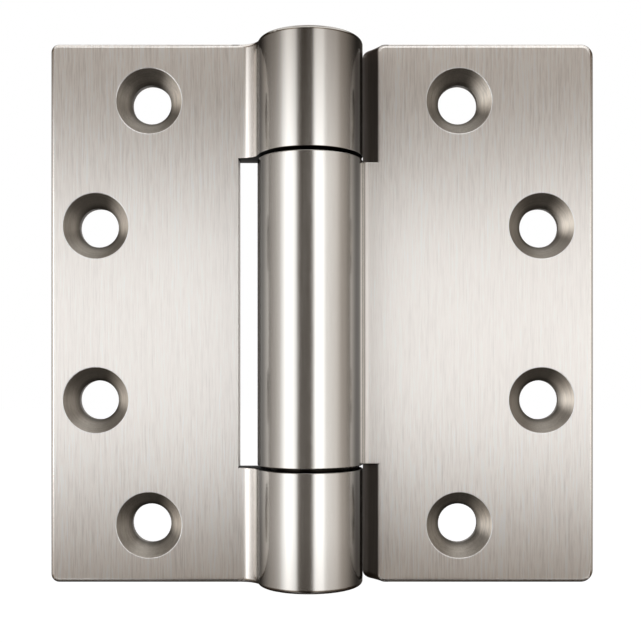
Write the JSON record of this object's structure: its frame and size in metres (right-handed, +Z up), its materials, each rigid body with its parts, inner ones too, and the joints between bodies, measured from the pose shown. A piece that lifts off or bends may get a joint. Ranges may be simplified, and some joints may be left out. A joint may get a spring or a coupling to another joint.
{
  "type": "detention hinge",
  "caption": "Heavy full mortise door hinge with interlocking knuckles, concealed thrust ball bearings, a captive pin and countersunk screw holes.",
  "frame": {"origin": "on the pin's axis at mid height", "axes": "+Z up along the pin, +X from the barrel into the door leaf, +Y from the countersunk front to the seating backs, with the hinge opened flat"},
  "size_m": [0.1152, 0.0222, 0.1142],
  "materials": {
    "leaf_steel": "satin stainless steel, fine upright grain",
    "pin_steel": "ground hardened steel",
    "plug_steel": "turned stainless steel",
    "bush_bronze": "oil filled sintered bronze",
    "race_steel": "hardened and ground steel",
    "cage_brass": "pressed brass",
    "ball_steel": "polished steel"
  },
  "bodies": {
    "frame_side": {"frame_leaf": "leaf_steel", "hinge_pin": "pin_steel", "top_plug": "plug_steel", "bottom_plug": "plug_steel", "upper_frame_race": "race_steel", "lower_frame_race": "race_steel"},
    "door_side": {"door_leaf": "leaf_steel", "upper_bush": "bush_bronze", "lower_bush": "bush_bronze", "upper_door_race": "race_steel", "lower_door_race": "race_steel"},
    "upper_cage": {"upper_ball_cage": "cage_brass", "upper_balls": "ball_steel"},
    "lower_cage": {"lower_ball_cage": "cage_brass", "lower_balls": "ball_steel"}
  },
  "joints": [
    {"name": "door_swing", "type": "hinge", "parent": "frame_side", "child": "door_side", "pos_m": [0, 0, 0], "axis": [0, 0, 1], "range_deg": [-180, 120]},
    {"name": "upper_cage_roll", "type": "hinge", "parent": "frame_side", "child": "upper_cage", "pos_m": [0, 0, 0], "axis": [0, 0, 1], "range_deg": [-90, 60]},
    {"name": "lower_cage_roll", "type": "hinge", "parent": "frame_side", "child": "lower_cage", "pos_m": [0, 0, 0], "axis": [0, 0, 1], "range_deg": [-90, 60]}
  ],
  "couplings": [
    {"joint": "upper_cage_roll", "follows": "door_swing", "ratio": 0.5},
    {"joint": "lower_cage_roll", "follows": "door_swing", "ratio": 0.5}
  ]
}
